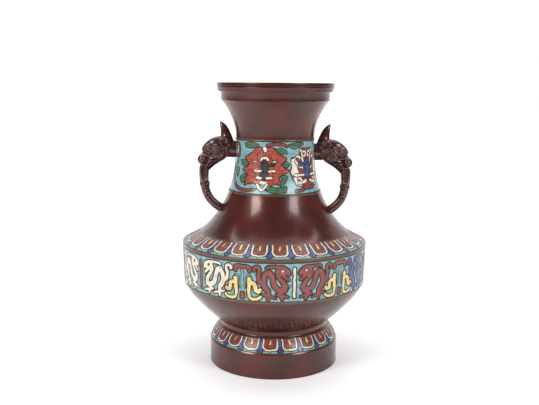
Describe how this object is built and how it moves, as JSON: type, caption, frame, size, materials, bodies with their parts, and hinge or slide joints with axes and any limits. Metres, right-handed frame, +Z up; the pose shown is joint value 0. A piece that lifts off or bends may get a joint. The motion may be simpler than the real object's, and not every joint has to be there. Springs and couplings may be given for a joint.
{
  "type": "two-handled enamelled bronze vase",
  "caption": "Footed bronze vase with a sharp-shouldered belly, flared neck, beast-head loop handles and bands of coloured enamel cells.",
  "frame": {"origin": "centre of the foot on the surface the vase stands on", "axes": "+Z up along the vessel's axis, handles along +X and -X, front towards -Y"},
  "size_m": [0.2006, 0.2006, 0.305],
  "materials": {
    "bronze": "glossy red-brown patinated cast bronze, waxed",
    "handle_bronze": "glossy dark brown patinated cast bronze",
    "cell_metal": "ground flush, brown bronze cell walls",
    "enamel_turquoise": "opaque fired glass enamel, polished, finely pitted",
    "enamel_red": "opaque fired glass enamel, polished, finely pitted",
    "enamel_white": "opaque fired glass enamel, polished, finely pitted",
    "enamel_blue": "opaque fired glass enamel, polished, finely pitted",
    "enamel_green": "opaque fired glass enamel, polished, finely pitted",
    "enamel_yellow": "opaque fired glass enamel, polished, finely pitted"
  },
  "bodies": {
    "root": {"mouth_ring": "bronze", "neck_casting": "bronze", "shoulder_casting": "bronze", "belly_drum": "bronze", "lower_bowl": "bronze", "foot_ring": "bronze", "base_plate": "bronze", "handle_left": "handle_bronze", "handle_right": "handle_bronze", "handle_upper_pins": "handle_bronze", "handle_lower_pins": "handle_bronze", "neck_cell_walls": "cell_metal", "shoulder_cell_walls": "cell_metal", "belly_cell_walls": "cell_metal", "foot_cell_walls": "cell_metal", "neck_enamel_turquoise": "enamel_turquoise", "neck_enamel_red": "enamel_red", "neck_enamel_white": "enamel_white", "neck_enamel_blue": "enamel_blue", "neck_enamel_green": "enamel_green", "shoulder_enamel_white": "enamel_white", "shoulder_enamel_maroon": "enamel_red", "shoulder_enamel_yellow": "enamel_yellow", "shoulder_enamel_blue": "enamel_blue", "shoulder_enamel_turquoise": "enamel_turquoise", "belly_enamel_turquoise": "enamel_turquoise", "belly_enamel_maroon": "enamel_red", "belly_enamel_white": "enamel_white", "belly_enamel_blue": "enamel_blue", "belly_enamel_yellow": "enamel_yellow", "foot_enamel_white": "enamel_white", "foot_enamel_maroon": "enamel_red", "foot_enamel_yellow": "enamel_yellow", "foot_enamel_blue": "enamel_blue", "foot_enamel_turquoise": "enamel_turquoise"}
  },
  "joints": []
}
